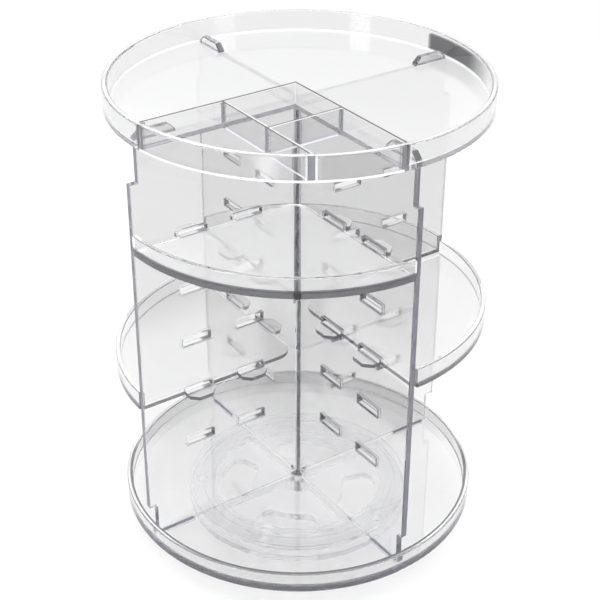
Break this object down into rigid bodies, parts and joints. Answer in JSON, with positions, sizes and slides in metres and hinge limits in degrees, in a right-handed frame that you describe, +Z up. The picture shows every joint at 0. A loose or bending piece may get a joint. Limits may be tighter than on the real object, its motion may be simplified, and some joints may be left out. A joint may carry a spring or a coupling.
{
  "type": "rotating makeup organizer",
  "caption": "Clear plastic carousel on a ball turntable: crossed boards carry quarter-round shelf trays and a round top tray with an open brush holder.",
  "frame": {"origin": "on the ground under the middle of the organizer, on its turning axis", "axes": "+Z up along the turning axis; the quadrant under the open brush holder lies towards -X and -Y; the boards stand along X and along Y"},
  "size_m": [0.2336, 0.2336, 0.307],
  "materials": {
    "clear_tray": "polished clear",
    "clear_board": "polished clear",
    "clear_turntable": "moulded clear",
    "ball": "smooth",
    "screw_steel": "plated"
  },
  "bodies": {
    "foot": {"foot_plate": "clear_turntable"},
    "cage": {"ball_cage": "clear_turntable", "bearing_balls": "ball"},
    "carousel": {"race_plate": "clear_turntable", "pivot_pin": "clear_turntable", "pivot_screw": "screw_steel", "base_tray": "clear_tray", "board_left_right": "clear_board", "board_front_back": "clear_board", "shelf_tray_front": "clear_tray", "shelf_tray_left": "clear_tray", "shelf_tray_right": "clear_tray", "shelf_tray_back": "clear_tray"},
    "top": {"top_tray": "clear_tray"}
  },
  "joints": [
    {"name": "turntable_spin", "type": "hinge", "parent": "foot", "child": "carousel", "pos_m": [0, 0, 0.0075], "axis": [0, 0, 1], "continuous": true},
    {"name": "cage_spin", "type": "hinge", "parent": "foot", "child": "cage", "pos_m": [0, 0, 0.0075], "axis": [0, 0, 1], "continuous": true},
    {"name": "top_tray_lift", "type": "slide", "parent": "carousel", "child": "top", "axis": [0, 0, 1], "range_m": [0, 0.03]}
  ],
  "couplings": [
    {"joint": "cage_spin", "follows": "turntable_spin", "ratio": 0.5}
  ]
}
